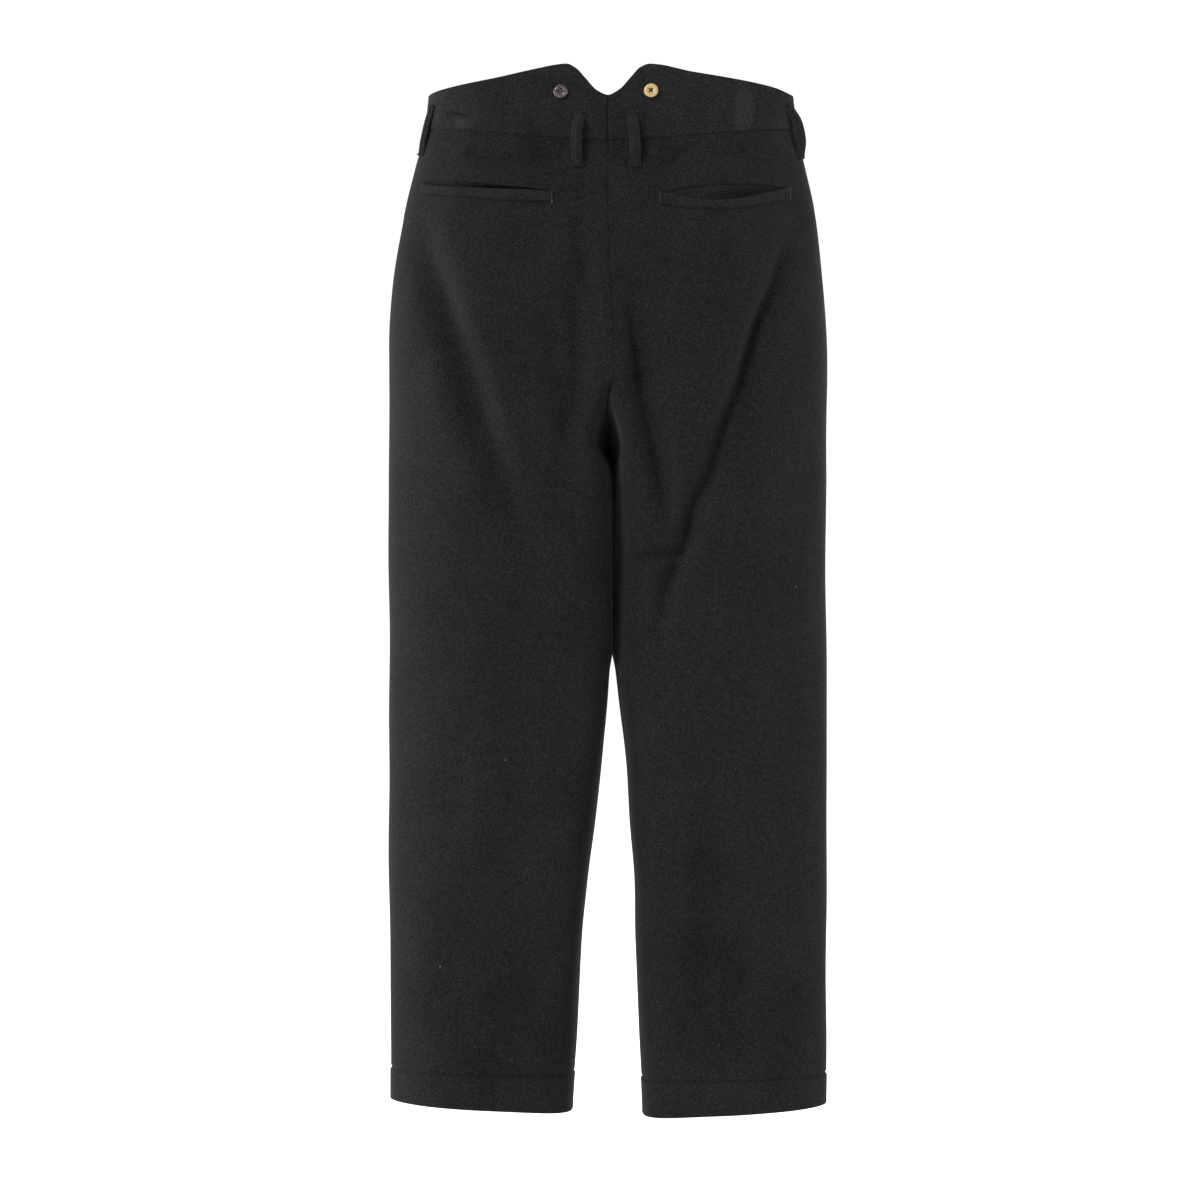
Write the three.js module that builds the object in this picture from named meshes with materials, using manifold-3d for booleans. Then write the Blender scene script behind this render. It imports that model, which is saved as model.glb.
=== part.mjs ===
// Wool trousers with a fishtail back, hung up by the waist and filled out as if worn.
// Millimetres. +Z is up, +Y is the way a wearer faces and +X is the wearer's right, so the back faces -Y.
// The origin is the middle of the waist, at half the height of the waistband's sides.
// Each leg is cut as a back and a front panel, each a wall of cloth between an outer and an inner skin.
import * as THREE from "three";
import { mergeVertices } from "three/addons/utils/BufferGeometryUtils.js";
import Module from "manifold-3d";

const wasm = await Module();
wasm.setup();

// Cloth
const clothThickness = 2.0;
const bandThickness = 3.0;
const weltThickness = 1.6;
const seamGap = 0.3; // between two pieces that are sewn edge to edge
const layGap = 0.5; // between a piece and the panel that it lies on
const hemDepth = 32; // turned up inside, so the wall is double there
const hemThickness = 4.2;

// Lengths down from the waist
const hemHeight = -1061;
const forkHeight = -362; // where the crotch seam ends and the two legs part
const bandSeamSides = -20;
const bandSeamDip = 19; // how much lower the band's seam is at the centre back
const bandSeamDipFront = 9;
const bandHalfWidth = 200;
const bandTopSides = 16;
const bandTopDipFront = 9;

// Small pieces
const loopWidth = 11.5;
const loopLength = 60;
const loopThickness = 2.4;
const loopSlack = 4.9; // free space under a loop, for a belt
const sideLoopSlack = 5.5; // the same at the sides, where the loops stand off more
const loopFoot = 7; // the stitched end of a loop
const buttonRadius = 7.5;
const buttonThickness = 3;
const weltHeight = 11;
const flyWidth = 36;
const flyLap = 5; // how far the fly laps over the other front
const flyLength = 175;
const tabLeft = -24;
const tabRight = 30;

const woolColour = 0x262424;
const wool = new THREE.MeshStandardMaterial({ color: woolColour, roughness: 0.95, metalness: 0 });
const blackHorn = new THREE.MeshStandardMaterial({ color: 0x1c1a1c, roughness: 0.25, metalness: 0 });
const paleHorn = new THREE.MeshStandardMaterial({ color: 0xd9b274, roughness: 0.4, metalness: 0 });

const trousers = new THREE.Group();

// Each row is a level cut through one leg and its half of the hips, measured out from the middle plane.
// outer and middle are how far out the side and the middle of the leg are, and lean moves both sides to the
// wearer's right. side, back and front are how far forward the side edge and the two faces are. gap is half
// the space between the legs and sway moves that space to the wearer's right. seamBack and seamFront are how
// far forward the inner edges of the panels are, and the turn columns are 0 where such an edge runs straight
// across and 1 where it runs fore and aft. stagger sets the left leg's inner edge back and the right one's
// forward, so that the legs overlap a little as they are seen from behind. shoulder is how full the inner
// half of the back is, where the cloth stands in a ridge on each side of the fork.
const columns = ["height", "outer", "lean", "middle", "side", "back", "front", "gap", "sway",
  "seamBack", "seamFront", "turnBack", "turnFront", "stagger", "shoulder"];
const sections = [
  [60, 191, 2.8, 80, 0, -56, 56, 0.15, 0, -57, 57, 0, 0, 0, 0.56],
  [18, 194, 2.8, 80, 0, -57, 57, 0.15, 0, -58, 58, 0, 0, 0, 0.56],
  [-20, 198.5, 3.2, 80, 0, -60, 59, 0.15, 0, -61, 60, 0, 0, 0, 0.56],
  [-60, 208.5, 2.4, 82, -1, -66, 63, 0.15, 0, -67, 63, 0, 0, 0, 0.56],
  [-100, 218, 1.9, 86, -2, -76, 69, 0.15, 0, -78, 67, 0, 0, 0, 0.56],
  [-150, 226, 1.2, 92, -3, -87, 77, 0.15, 0, -89, 73, 0, 0, 0, 0.56],
  [-200, 230.8, 0.7, 98, -3, -94, 83, 0.15, 0, -96, 78, 0, 0, 0, 0.56],
  [-250, 233.4, 0, 103, -2, -97, 87, 0.15, 0, -98.5, 80, 0, 0, 0, 0.56],
  [-275, 233.8, 0, 97, -1, -96.8, 88, 0.15, 0, -97.2, 79.5, 0.3, 0.05, 0, 0.7],
  [-296, 234, 0, 89, -1, -96, 88, 0.15, 0, -96, 78, 0.88, 0.2, 0, 1.05],
  [-306, 234, 0, 85, 0, -95.6, 88, 0.15, 0, -91, 76, 0.96, 0.38, 0, 1.12],
  [-314, 234, 0, 83, 0, -95.2, 88, 0.15, 0, -76, 73.5, 0.97, 0.6, 0, 1.14],
  [-324, 234, 0, 82, 0, -94.6, 88, 0.15, 0, -48, 69, 0.96, 0.8, 0, 1.15],
  [-334, 234, 0, 82, 0, -94, 87.8, 0.15, 0, -20, 63, 0.93, 0.92, 0, 1.15],
  [-344, 234, 0, 82, 0, -93.2, 87.5, 0.15, 0, 5, 56, 0.89, 0.97, 0, 1.15],
  [-353, 234, 0, 82, 0, -92.5, 87, 0.15, 0, 22, 48, 0.87, 1, 0, 1.15],
  [-362, 234, 0, 82, 0, -91.5, 86.5, 0.15, 0, 36, 36.6, 0.88, 1, 0, 1.14],
  [-376, 234, 0, 84, 0, -90, 86, -0.6, 1.7, 34, 34, 0.915, 1, 17, 1.1],
  [-390, 234, 0, 88, 0, -88.5, 85, -0.8, 3, 30, 30, 0.93, 1, 23, 1.05],
  [-405, 233.8, 0, 92, 0, -86.8, 84, -1, 3.4, 25, 25, 0.94, 1, 26, 1],
  [-430, 233.6, 0, 98, 0, -84.5, 82, -1, 3.4, 18, 18, 0.95, 1, 27, 0.94],
  [-500, 233.6, 0, 110, 0, -76, 76, -1, 2.6, 8, 8, 0.97, 1, 27, 0.76],
  [-545, 233.6, 0, 116, 0, -71, 71, -0.8, 3.2, 4, 4, 1, 1, 24, 0.62],
  [-576, 233.7, 0, 118, 0, -68, 68, 0.3, 4.4, 2, 2, 1, 1, 16, 0.56],
  [-597, 233.8, 0, 119, 0, -66, 66, 3.2, 4.8, 1, 1, 1, 1, 12, 0.56],
  [-629, 234, 0, 120, 0, -64, 64, 5.9, 5.5, 0, 0, 1, 1, 8, 0.56],
  [-693, 234.4, 0, 123, 0, -61, 61, 12.7, 6.4, 0, 0, 1, 1, 2, 0.56],
  [-758, 234.4, 0, 126, 0, -59, 59, 18.2, 4.8, 0, 0, 1, 1, 0, 0.56],
  [-822, 234.2, 0, 129, 0, -58, 58, 25, 3.2, 0, 0, 1, 1, 0, 0.56],
  [-886, 233.8, 0, 131, 0, -57, 57, 28.6, 0.6, 0, 0, 1, 1, 0, 0.56],
  [-980, 233, 0, 133, 0, -56, 56, 32.8, 0.2, 0, 0, 1, 1, 0, 0.56],
  [-1080, 233, 0, 135, 0, -55, 55, 37.8, -0.6, 0, 0, 1, 1, 0, 0.56],
].map((row) => Object.fromEntries(row.map((value, i) => [columns[i], value])));
const roundness = 0.56; // how full the outer half of a cut is, 0.55 being an ellipse

// Folds of the hanging cloth. face is -1 on the back and 1 on the front, depth is negative in a trough and
// width is its half width. path holds points of x and height, and the fold fades out at both of its ends.
const folds = [
  { face: -1, depth: -9, width: 17, path: [[-200, -112], [-196, -150], [-184, -190], [-168, -226], [-152, -262],
    [-140, -300], [-128, -340], [-116, -380], [-102, -420], [-86, -462], [-66, -511]] },
  { face: -1, depth: -9, width: 12, path: [[198, -100], [196, -134], [188, -160], [176, -197], [160, -232],
    [151, -262], [140, -310], [125, -345], [117, -376], [103, -410], [92, -440], [82, -468], [62, -500], [50, -540]] },
  { face: -1, depth: -9, width: 13, path: [[-34, -170], [-32, -220], [-31, -270], [-34, -314], [-40, -345],
    [-42, -376], [-41, -418], [-34, -470]] },
  { face: -1, depth: -9, width: 13, path: [[22, -180], [27, -230], [35, -270], [42, -314], [51, -355],
    [58, -395], [63, -435], [64, -470]] },
  { face: 1, depth: -7, width: 15, path: [[-198, -110], [-186, -180], [-160, -260], [-128, -340], [-96, -420], [-66, -500]] },
  { face: 1, depth: -7, width: 15, path: [[196, -120], [182, -190], [154, -270], [122, -350], [92, -430], [64, -520]] },
  { face: 1, depth: -6, width: 13, path: [[-34, -210], [-38, -270], [-46, -340], [-56, -410]] },
  { face: 1, depth: -6, width: 13, path: [[36, -230], [42, -290], [50, -360], [58, -430]] },
];

// The top edge of the fishtail on each half, by how far it is from the centre back.
const fishtail = [[0, 9, 9], [12, 14, 15], [24, 27, 28], [34, 37.5, 38.5], [44, 42, 42], [56, 40.8, 41],
  [70, 38, 38], [86, 34.6, 34.2], [118, 27.3, 29], [153, 21.4, 24], [178, 17, 20], [196, 12, 14]]
  .map(([across, left, right]) => ({ across, left, right }));

// Smooth steps between the rows of a table, with no bulges between them. Its key rises or falls all the way.
function between(table, at, key, value) {
  const last = table.length - 1;
  const rising = table[last][key] > table[0][key] ? 1 : -1;
  let i = 0;
  while (i < last - 1 && (at - table[i + 1][key]) * rising > 0) i += 1;
  const slope = (a) => {
    if (a < 0 || a >= last) return 0;
    return (table[a + 1][value] - table[a][value]) / (table[a + 1][key] - table[a][key]);
  };
  const tangent = (a) => {
    const [before, after] = [slope(a - 1), slope(a)];
    return before * after > 0 ? (2 * before * after) / (before + after) : 0;
  };
  const span = table[i + 1][key] - table[i][key];
  const t = THREE.MathUtils.clamp((at - table[i][key]) / span, 0, 1);
  const [t2, t3] = [t * t, t * t * t];
  return (2 * t3 - 3 * t2 + 1) * table[i][value] + (t3 - 2 * t2 + t) * span * tangent(i)
    + (3 * t2 - 2 * t3) * table[i + 1][value] + (t3 - t2) * span * tangent(i + 1);
}

function cubic(t, a, b, c, d) {
  const s = 1 - t;
  return s * s * s * a + 3 * s * s * t * b + 3 * s * t * t * c + t * t * t * d;
}

// One level cut as numbers. side is 1 for the wearer's right leg and -1 for the left one.
function sectionAt(side, height) {
  const cut = {};
  for (const name of columns) cut[name] = between(sections, height, "height", name);
  cut.outer += side * cut.lean;
  cut.inner = cut.gap + side * cut.sway;
  cut.seamBack += side * cut.stagger;
  cut.seamFront += side * cut.stagger;
  return cut;
}

// A point of the plain outline, with no folds: around is 0 at the side seam and 1 at the inner edge.
function plainPoint(side, face, height, around) {
  const cut = sectionAt(side, height);
  const depth = face < 0 ? cut.back : cut.front;
  const seam = face < 0 ? cut.seamBack : cut.seamFront;
  const turn = (face < 0 ? cut.turnBack : cut.turnFront) * Math.PI / 2;
  if (around <= 0.5) {
    const t = around * 2;
    const x = cubic(t, cut.outer, cut.outer, cut.middle + roundness * (cut.outer - cut.middle), cut.middle);
    const y = cubic(t, cut.side, cut.side + roundness * (depth - cut.side), depth, depth);
    return new THREE.Vector3(side * x, y, height);
  }
  const t = around * 2 - 1;
  const full = face < 0 ? cut.shoulder : roundness;
  const across = full * (cut.middle - cut.inner);
  const x = cubic(t, cut.middle, cut.middle - across, cut.inner + Math.cos(turn) * across, cut.inner);
  const y = cubic(t, depth, depth, seam + Math.sin(turn) * full * (depth - seam), seam);
  return new THREE.Vector3(side * x, y, height);
}

// How far a fold moves the cloth out at a point of one face.
function foldAt(fold, x, height) {
  let nearest = Infinity;
  let fade = 0;
  const steps = fold.path.length - 1;
  for (let i = 0; i < steps; i += 1) {
    const [ax, az] = fold.path[i];
    const [bx, bz] = fold.path[i + 1];
    const along = ((x - ax) * (bx - ax) + (height - az) * (bz - az)) / ((bx - ax) ** 2 + (bz - az) ** 2);
    const t = THREE.MathUtils.clamp(along, 0, 1);
    const away = Math.hypot(x - ax - t * (bx - ax), height - az - t * (bz - az));
    if (away < nearest) {
      nearest = away;
      fade = Math.sqrt(Math.max(0, Math.sin(Math.PI * (i + t) / steps)));
    }
  }
  return fold.depth * fade * Math.exp(-((nearest / fold.width) ** 2));
}

// The outer skin: a point of the folded cloth and the level direction that points out of it.
function skin(side, face, height, around) {
  const point = plainPoint(side, face, height, around);
  const step = 0.01;
  const from = plainPoint(side, face, height, Math.max(0, around - step));
  const to = plainPoint(side, face, height, Math.min(1, around + step));
  if (around < step) from.set(point.x, 2 * point.y - to.y, height).setX(to.x); // the side seam stands fore and aft
  const out = new THREE.Vector3(to.y - from.y, from.x - to.x, 0).normalize().multiplyScalar(side * face);
  for (const fold of folds) {
    if (fold.face === face) point.addScaledVector(out, foldAt(fold, point.x, height));
  }
  return { point, out };
}

// Where a face of the cloth is at a distance across, on the side that x is on.
function skinAcross(face, x, height) {
  const side = x < 0 ? -1 : 1;
  let [low, high] = [0, 1];
  for (let i = 0; i < 40; i += 1) {
    const middle = (low + high) / 2;
    if (Math.abs(plainPoint(side, face, height, middle).x) > Math.abs(x)) low = middle;
    else high = middle;
  }
  return skin(side, face, height, low);
}

// A closed wall between two skins, each a grid of points. Its faces are turned to point out.
function wall(rows, cols, outerAt, innerAt) {
  const points = [];
  for (const at of [outerAt, innerAt]) {
    for (let i = 0; i < rows; i += 1) {
      for (let j = 0; j < cols; j += 1) points.push(at(i, j));
    }
  }
  const faces = [];
  const quad = (a, b, c, d) => faces.push(a, b, c, a, c, d);
  const outer = (i, j) => i * cols + j;
  const inner = (i, j) => rows * cols + i * cols + j;
  for (let i = 0; i < rows - 1; i += 1) {
    for (let j = 0; j < cols - 1; j += 1) {
      quad(outer(i, j), outer(i, j + 1), outer(i + 1, j + 1), outer(i + 1, j));
      quad(inner(i, j), inner(i + 1, j), inner(i + 1, j + 1), inner(i, j + 1));
    }
    quad(outer(i, 0), outer(i + 1, 0), inner(i + 1, 0), inner(i, 0));
    quad(outer(i, cols - 1), inner(i, cols - 1), inner(i + 1, cols - 1), outer(i + 1, cols - 1));
  }
  for (let j = 0; j < cols - 1; j += 1) {
    quad(outer(0, j), inner(0, j), inner(0, j + 1), outer(0, j + 1));
    quad(outer(rows - 1, j), outer(rows - 1, j + 1), inner(rows - 1, j + 1), inner(rows - 1, j));
  }
  let volume = 0;
  for (let k = 0; k < faces.length; k += 3) {
    const [a, b, c] = [points[faces[k]], points[faces[k + 1]], points[faces[k + 2]]];
    volume += a.dot(b.clone().cross(c));
  }
  if (volume < 0) faces.reverse();
  const geometry = new THREE.BufferGeometry();
  geometry.setAttribute("position", new THREE.Float32BufferAttribute(points.flatMap((p) => p.toArray()), 3));
  geometry.setIndex(faces);
  geometry.computeVertexNormals();
  return geometry;
}

function addPiece(name, geometry, material) {
  const mesh = new THREE.Mesh(geometry, material);
  mesh.name = name;
  trousers.add(mesh);
  return mesh;
}

const sideName = (side) => (side < 0 ? "left" : "right");

// How near a distance across is to the middle: 1 there and 0 at the side seams.
const nearMiddle = (x) => 1 - Math.min(1, Math.abs(x) / bandHalfWidth) ** 1.5;

const bandSeam = (face, x) => bandSeamSides - nearMiddle(x) * (face < 0 ? bandSeamDip : bandSeamDipFront);

function bandTop(face, x) {
  if (face < 0) return between(fishtail, Math.abs(x), "across", x < 0 ? "left" : "right");
  return bandTopSides - bandTopDipFront * nearMiddle(x);
}

// The height of the band's seam on one line that runs down the cloth.
function seamHeight(side, face, around) {
  let height = bandSeamSides;
  for (let i = 0; i < 4; i += 1) height = bandSeam(face, plainPoint(side, face, height, around).x);
  return height;
}

// The hems drop a little towards the inside.
const hemDrop = (side, x) => (side < 0 ? 6.5 : 1.5) - 12 * (1 - Math.abs(x) / 234);

// Row heights of a leg panel from the hem to just under the band, closer where the crotch curves.
const rowSpans = [[hemHeight + hemDepth, 1], [hemHeight + hemDepth + 1, 1], [-700, 4], [-610, 2], [-460, 4],
  [-376, 4], [forkHeight, 2], [-298, 10], [-260, 3], [-70, 5]];
const rowHeights = [hemHeight];
for (const [to, steps] of rowSpans) {
  const from = rowHeights[rowHeights.length - 1];
  for (let k = 1; k <= steps; k += 1) rowHeights.push(from + (to - from) * k / steps);
}
const seamRows = 2; // the last rows ease from level to the band's seam

function legPanel(side, face) {
  const cols = face < 0 ? 15 : 11;
  const rows = rowHeights.length + seamRows;
  const levels = rowHeights.length - 1;
  const edge = seamGap / 2;
  const place = (i, j) => {
    const around = j / (cols - 1);
    let height = rowHeights[Math.min(i, levels)];
    if (i > levels) height += (seamHeight(side, face, around) - edge - height) * (i - levels) / seamRows;
    const lowest = THREE.MathUtils.clamp((-900 - height) / 130, 0, 1);
    const foot = plainPoint(side, face, height, around);
    height += lowest * hemDrop(side, foot.x);
    const found = skin(side, face, height, around);
    if (j === 0) found.point.y += face * edge;
    if (j === cols - 1 && height < forkHeight - 0.5) {
      found.point.y += face * edge;
      found.out.set(-side, 0, 0); // so that both panels end square to their seam
    }
    return found;
  };
  const grid = [];
  for (let i = 0; i < rows; i += 1) {
    grid.push([]);
    for (let j = 0; j < cols; j += 1) grid[i].push(place(i, j));
  }
  const thickness = (i) => (i < 2 ? hemThickness : clothThickness);
  return wall(rows, cols, (i, j) => grid[i][j].point,
    (i, j) => grid[i][j].point.clone().addScaledVector(grid[i][j].out, -thickness(i)));
}

for (const face of [-1, 1]) {
  for (const side of [-1, 1]) {
    addPiece(`${face < 0 ? "back" : "front"}_panel_${sideName(side)}`, legPanel(side, face), wool);
  }
}

// The waistband, in four pieces. The two at the back rise to the fishtail's peaks.
function bandPiece(side, face) {
  const cols = face < 0 ? 29 : 11;
  const rows = face < 0 ? 4 : 3;
  const grid = [];
  for (let i = 0; i < rows; i += 1) {
    grid.push([]);
    for (let j = 0; j < cols; j += 1) {
      const around = j / (cols - 1);
      const low = seamHeight(side, face, around) + seamGap / 2;
      const top = bandTop(face, plainPoint(side, face, bandTopSides, around).x);
      const height = low + (top - low) * i / (rows - 1);
      const found = skin(side, face, height, around);
      if (j === 0) found.point.y += face * seamGap / 2;
      grid[i].push(found);
    }
  }
  return wall(rows, cols, (i, j) => grid[i][j].point,
    (i, j) => grid[i][j].point.clone().addScaledVector(grid[i][j].out, -bandThickness));
}

for (const face of [-1, 1]) {
  for (const side of [-1, 1]) {
    addPiece(`waistband_${face < 0 ? "back" : "front"}_${sideName(side)}`, bandPiece(side, face), wool);
  }
}

// A flat piece that lies on one face of the cloth. at(u, v) gives its place across and its height.
function laidPiece(face, cols, rows, thickness, at) {
  const grid = [];
  for (let i = 0; i < rows; i += 1) {
    grid.push([]);
    for (let j = 0; j < cols; j += 1) {
      const [x, height] = at(j / (cols - 1), i / (rows - 1));
      grid[i].push(skinAcross(face, x, height));
    }
  }
  const moved = (i, j, by) => grid[i][j].point.clone().addScaledVector(grid[i][j].out, by);
  return wall(rows, cols, (i, j) => moved(i, j, layGap + thickness), (i, j) => moved(i, j, layGap));
}

// Welt pockets: a strip under each mouth, from its inner end to its outer end near the side. The right one
// sags open in the middle.
const welts = [
  { side: -1, inner: [-60, -100], outer: [-194, -87], sag: 0 },
  { side: 1, inner: [53, -102], outer: [189, -95], sag: 7 },
];
for (const welt of welts) {
  const at = (u, v) => [
    THREE.MathUtils.lerp(welt.inner[0], welt.outer[0], u),
    THREE.MathUtils.lerp(welt.inner[1], welt.outer[1], u) - 4 * welt.sag * u * (1 - u) + (v - 0.5) * weltHeight,
  ];
  addPiece(`pocket_welt_${sideName(welt.side)}`, laidPiece(-1, 13, 2, weltThickness, at), wool);
}

// The fly laps over the wearer's right front, and its lower end is cut to a curve.
const flyEdge = (v) => -flyWidth * Math.sqrt(1 - (1 - Math.min(1, v / 0.3)) ** 2);
const flyTop = bandSeam(1, 0) - 1;
addPiece("fly_front", laidPiece(1, 7, 9, weltThickness, (u, v) => [
  THREE.MathUtils.lerp(flyEdge(v), flyLap, u), flyTop - flyLength * (1 - v)]), wool);

// The end of the waistband that buttons over the other one.
addPiece("waistband_tab", laidPiece(1, 9, 3, weltThickness, (u, v) => {
  const x = THREE.MathUtils.lerp(tabLeft, tabRight, u);
  const low = bandSeam(1, x) + 1;
  return [x, low + (bandTop(1, x) - 1 - low) * v];
}), wool);

// A belt loop is a folded strip, stitched down at both ends and slack between them.
function loopProfile(length, slack) {
  const half = length / 2;
  const rise = slack + loopThickness;
  const shape = new THREE.Shape();
  shape.moveTo(-half, 0);
  shape.lineTo(-half, loopThickness * 1.4);
  shape.bezierCurveTo(-half * 0.95, rise, -half * 0.7, rise, -half * 0.45, rise);
  shape.lineTo(half * 0.45, rise);
  shape.bezierCurveTo(half * 0.7, rise, half * 0.95, rise, half, loopThickness * 1.4);
  shape.lineTo(half, 0);
  shape.lineTo(half - loopFoot, 0);
  shape.bezierCurveTo(half - loopFoot, slack, half * 0.6, slack, half * 0.45, slack);
  shape.lineTo(-half * 0.45, slack);
  shape.bezierCurveTo(-half * 0.6, slack, -half + loopFoot, slack, -half + loopFoot, 0);
  shape.closePath();
  return shape;
}

const loops = [
  { name: "belt_loop_back_left", face: -1, top: [-28.5, -9], foot: [-32, -69], slack: loopSlack },
  { name: "belt_loop_back_right", face: -1, top: [25.5, -9], foot: [29, -69], slack: loopSlack },
  { name: "belt_loop_side_left", face: -1, top: [-187, 9], foot: [-197.5, -48], slack: sideLoopSlack },
  { name: "belt_loop_side_right", face: -1, top: [192, 9], foot: [203, -48], slack: sideLoopSlack },
  { name: "belt_loop_front_left", face: 1, top: [-92, -1], foot: [-92, -60], slack: loopSlack },
  { name: "belt_loop_front_right", face: 1, top: [92, -1], foot: [92, -60], slack: loopSlack },
];
for (const { name, face, top, foot, slack } of loops) {
  const high = skinAcross(face, ...top);
  const low = skinAcross(face, ...foot);
  const up = high.point.clone().sub(low.point);
  const length = up.length();
  up.normalize();
  const out = high.out.clone().add(low.out).normalize();
  out.addScaledVector(up, -out.dot(up)).normalize();
  const across = up.clone().cross(out);
  const settings = { depth: loopWidth, bevelEnabled: false, curveSegments: 4 };
  const geometry = new THREE.ExtrudeGeometry(loopProfile(length, slack), settings);
  geometry.translate(0, 0, -loopWidth / 2);
  geometry.applyMatrix4(new THREE.Matrix4().makeBasis(up, out, across));
  const middle = high.point.clone().add(low.point).multiplyScalar(0.5).addScaledVector(out, layGap);
  addPiece(name, geometry, wool).position.copy(middle);
}

// A sewn button with a raised rim and four holes, facing +Z.
function solidOf(geometry) {
  geometry.deleteAttribute("normal");
  geometry.deleteAttribute("uv");
  const merged = mergeVertices(geometry, 1e-4);
  return new wasm.Manifold(new wasm.Mesh({
    numProp: 3, vertProperties: merged.attributes.position.array, triVerts: new Uint32Array(merged.index.array) }));
}

function buttonGeometry() {
  const rim = buttonRadius * 0.86;
  const well = buttonRadius * 0.62;
  const profile = [[0, 0], [buttonRadius * 0.7, 0], [buttonRadius, buttonThickness * 0.45],
    [rim, buttonThickness], [well, buttonThickness * 0.72], [0, buttonThickness * 0.66]];
  const lathe = new THREE.LatheGeometry(profile.map(([r, y]) => new THREE.Vector2(r, y)), 16);
  lathe.rotateX(Math.PI / 2);
  let button = solidOf(lathe);
  const holeRadius = 0.85;
  const holeSpacing = 1.5;
  for (const dx of [-holeSpacing, holeSpacing]) {
    for (const dy of [-holeSpacing, holeSpacing]) {
      const drill = new THREE.CylinderGeometry(holeRadius, holeRadius, buttonThickness * 3, 5);
      drill.rotateX(Math.PI / 2).translate(dx, dy, 0);
      button = button.subtract(solidOf(drill));
    }
  }
  const mesh = button.getMesh();
  const geometry = new THREE.BufferGeometry();
  geometry.setAttribute("position", new THREE.Float32BufferAttribute(mesh.vertProperties, 3));
  geometry.setIndex(Array.from(mesh.triVerts));
  geometry.computeVertexNormals();
  return geometry;
}

const buttons = [
  { name: "brace_button_back_left", face: -1, at: [-50, 12.6], material: blackHorn },
  { name: "brace_button_back_right", face: -1, at: [45, 13.5], material: paleHorn },
  { name: "brace_button_front_left_outer", face: 1, at: [-125, 2], material: blackHorn },
  { name: "brace_button_front_left_inner", face: 1, at: [-62, -2], material: blackHorn },
  { name: "brace_button_front_right_inner", face: 1, at: [62, -2], material: blackHorn },
  { name: "brace_button_front_right_outer", face: 1, at: [125, 2], material: blackHorn },
  { name: "waist_button", face: 1, at: [14, -9], material: blackHorn, lift: weltThickness + layGap },
];
for (const { name, face, at, material, lift = 0 } of buttons) {
  const { point, out } = skinAcross(face, ...at);
  const button = addPiece(name, buttonGeometry(), material);
  button.quaternion.setFromUnitVectors(new THREE.Vector3(0, 0, 1), out);
  button.position.copy(point).addScaledVector(out, lift + layGap);
}

export default trousers;
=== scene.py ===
import bpy
import math
import numpy as np
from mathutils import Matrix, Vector


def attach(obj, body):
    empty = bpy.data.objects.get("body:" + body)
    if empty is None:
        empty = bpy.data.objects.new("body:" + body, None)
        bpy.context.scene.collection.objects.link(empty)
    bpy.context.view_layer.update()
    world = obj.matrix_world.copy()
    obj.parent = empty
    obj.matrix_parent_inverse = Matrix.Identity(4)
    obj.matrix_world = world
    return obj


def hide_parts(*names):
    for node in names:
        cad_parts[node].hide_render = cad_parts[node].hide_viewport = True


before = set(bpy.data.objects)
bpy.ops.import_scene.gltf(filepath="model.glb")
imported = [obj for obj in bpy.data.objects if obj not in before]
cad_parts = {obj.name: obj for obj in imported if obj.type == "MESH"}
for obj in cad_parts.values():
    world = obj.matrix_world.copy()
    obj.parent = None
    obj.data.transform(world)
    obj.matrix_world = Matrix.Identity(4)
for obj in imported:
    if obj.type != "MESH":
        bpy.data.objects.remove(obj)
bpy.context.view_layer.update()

mm = 0.001
faceNames = {-1: "back", 1: "front"}
sideNames = {-1: "left", 1: "right"}


def addObject(name, data):
    thing = bpy.data.objects.new(name, data)
    bpy.context.collection.objects.link(thing)
    return thing


# Fills a node's inputs: another node's output is linked, anything else is the socket's own value.
def feed(node, inputs):
    for name, value in inputs.items():
        if isinstance(value, bpy.types.NodeSocket):
            node.id_data.links.new(value, node.inputs[name])
        else:
            node.inputs[name].default_value = value


def addNode(tree, kind, inputs={}, **settings):
    node = tree.nodes.new("ShaderNode" + kind)
    for name, value in settings.items():
        setattr(node, name, value)
    feed(node, inputs)
    return node


# A Math node's result.
def reckon(tree, operation, *values):
    return addNode(tree, "Math", dict(enumerate(values)), operation=operation).outputs[0]


# The rows of a table, each a dictionary by the names of its columns.
def named(columns, *rows):
    return [dict(zip(columns.split(), row)) for row in rows]


print("stage 1: camera and light")

photo = {"distance": 3200, "across": -8.6, "height": -522, "frameWidth": 1284, "sensor": 36}
cameraData = bpy.data.cameras.new("photoCamera")
cameraData.sensor_width = photo["sensor"]
cameraData.lens = photo["sensor"] * photo["distance"] / photo["frameWidth"]
cameraData.clip_end = 100
camera = addObject("photoCamera", cameraData)
camera.location = (photo["across"] * mm, -photo["distance"] * mm, photo["height"] * mm)
camera.rotation_euler = (math.pi / 2, 0, 0)
bpy.context.scene.camera = camera
bpy.context.scene.view_settings.view_transform = "Standard"

light = {"sky": 0.165, "skySeen": 1.05, "sunPower": 1.38, "sunAngle": 18, "sunTurn": (56, 0, -47),
         "aim": (0, 0, -0.5)}
windows = named(
    "name power place size",
    ("leftWindow", 42, (-2.7, 0.25, -0.3), 1.8),
    ("rightWindow", 30, (2.8, -0.4, -0.3), 1.8),
    ("backWindow", 24, (1.3, 3.0, 0.3), 1.8),
)

world = bpy.data.worlds.new("studio")
world.use_nodes = True
bpy.context.scene.world = world
seen = addNode(world.node_tree, "LightPath").outputs["Is Camera Ray"]
skyMix = addNode(world.node_tree, "MapRange", {"Value": seen, "To Min": light["sky"], "To Max": light["skySeen"]})
feed(world.node_tree.nodes["Background"], {"Color": (1, 1, 1, 1), "Strength": skyMix.outputs["Result"]})

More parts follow.
